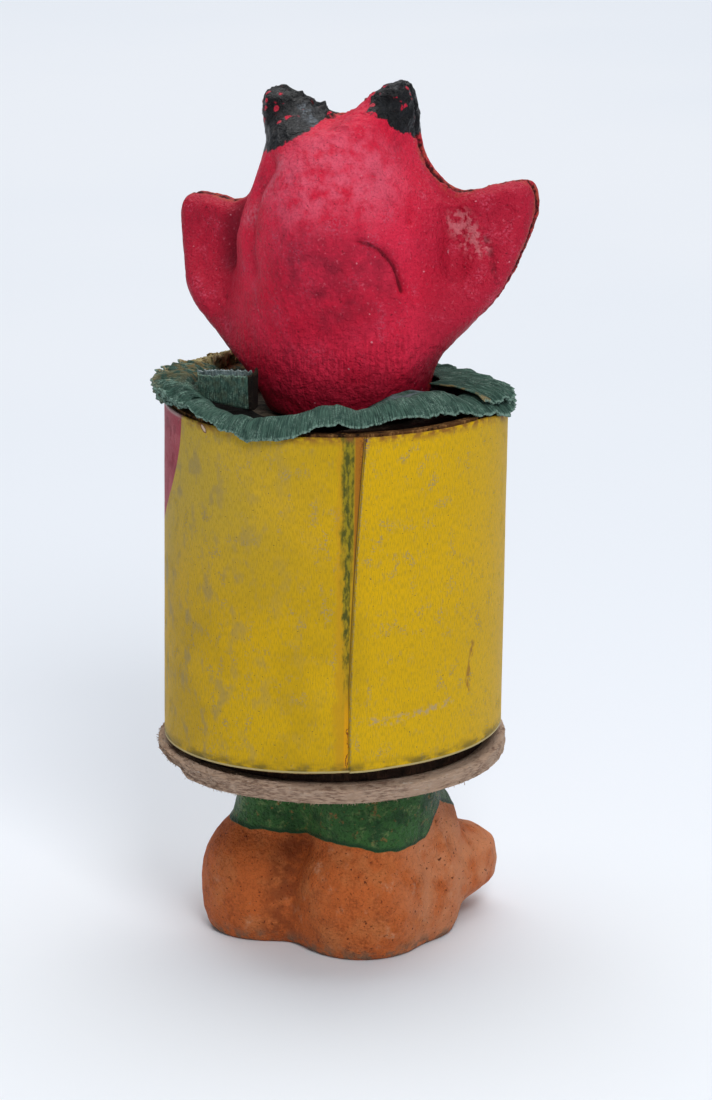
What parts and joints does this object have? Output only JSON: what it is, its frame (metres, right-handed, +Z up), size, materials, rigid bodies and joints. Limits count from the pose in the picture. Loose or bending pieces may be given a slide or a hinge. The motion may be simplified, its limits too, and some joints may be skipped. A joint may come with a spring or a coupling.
{
  "type": "halloween candy container",
  "caption": "Small card tube with a devil's head and a crepe-paper ruffle on top; a disc with moulded feet is the plug that pulls out below.",
  "frame": {"origin": "on the flat soles, below the tube's axis", "axes": "+Z up the tube; the devil's face looks along -Y, and the ruffle's loose ends are at the back"},
  "size_m": [0.0549, 0.0518, 0.1264],
  "materials": {
    "orange_composition": "painted pressed pulp (composition), worn matt",
    "chipboard": "bare grey-brown chipboard",
    "brown_card": "dark brown card",
    "tube_card": "brown spiral-wound card",
    "yellow_paper": "yellow glazed paper, rubbed and stained",
    "grey_card": "bare grey card",
    "red_composition": "painted pressed pulp (composition), low sheen",
    "crepe_paper": "dark green crepe paper"
  },
  "bodies": {
    "root": {"feet": "orange_composition", "base_disc": "chipboard", "plug_sleeve": "brown_card", "tube": "tube_card", "wrap": "yellow_paper", "top_disc": "grey_card", "head": "red_composition", "collar": "crepe_paper"}
  },
  "joints": []
}
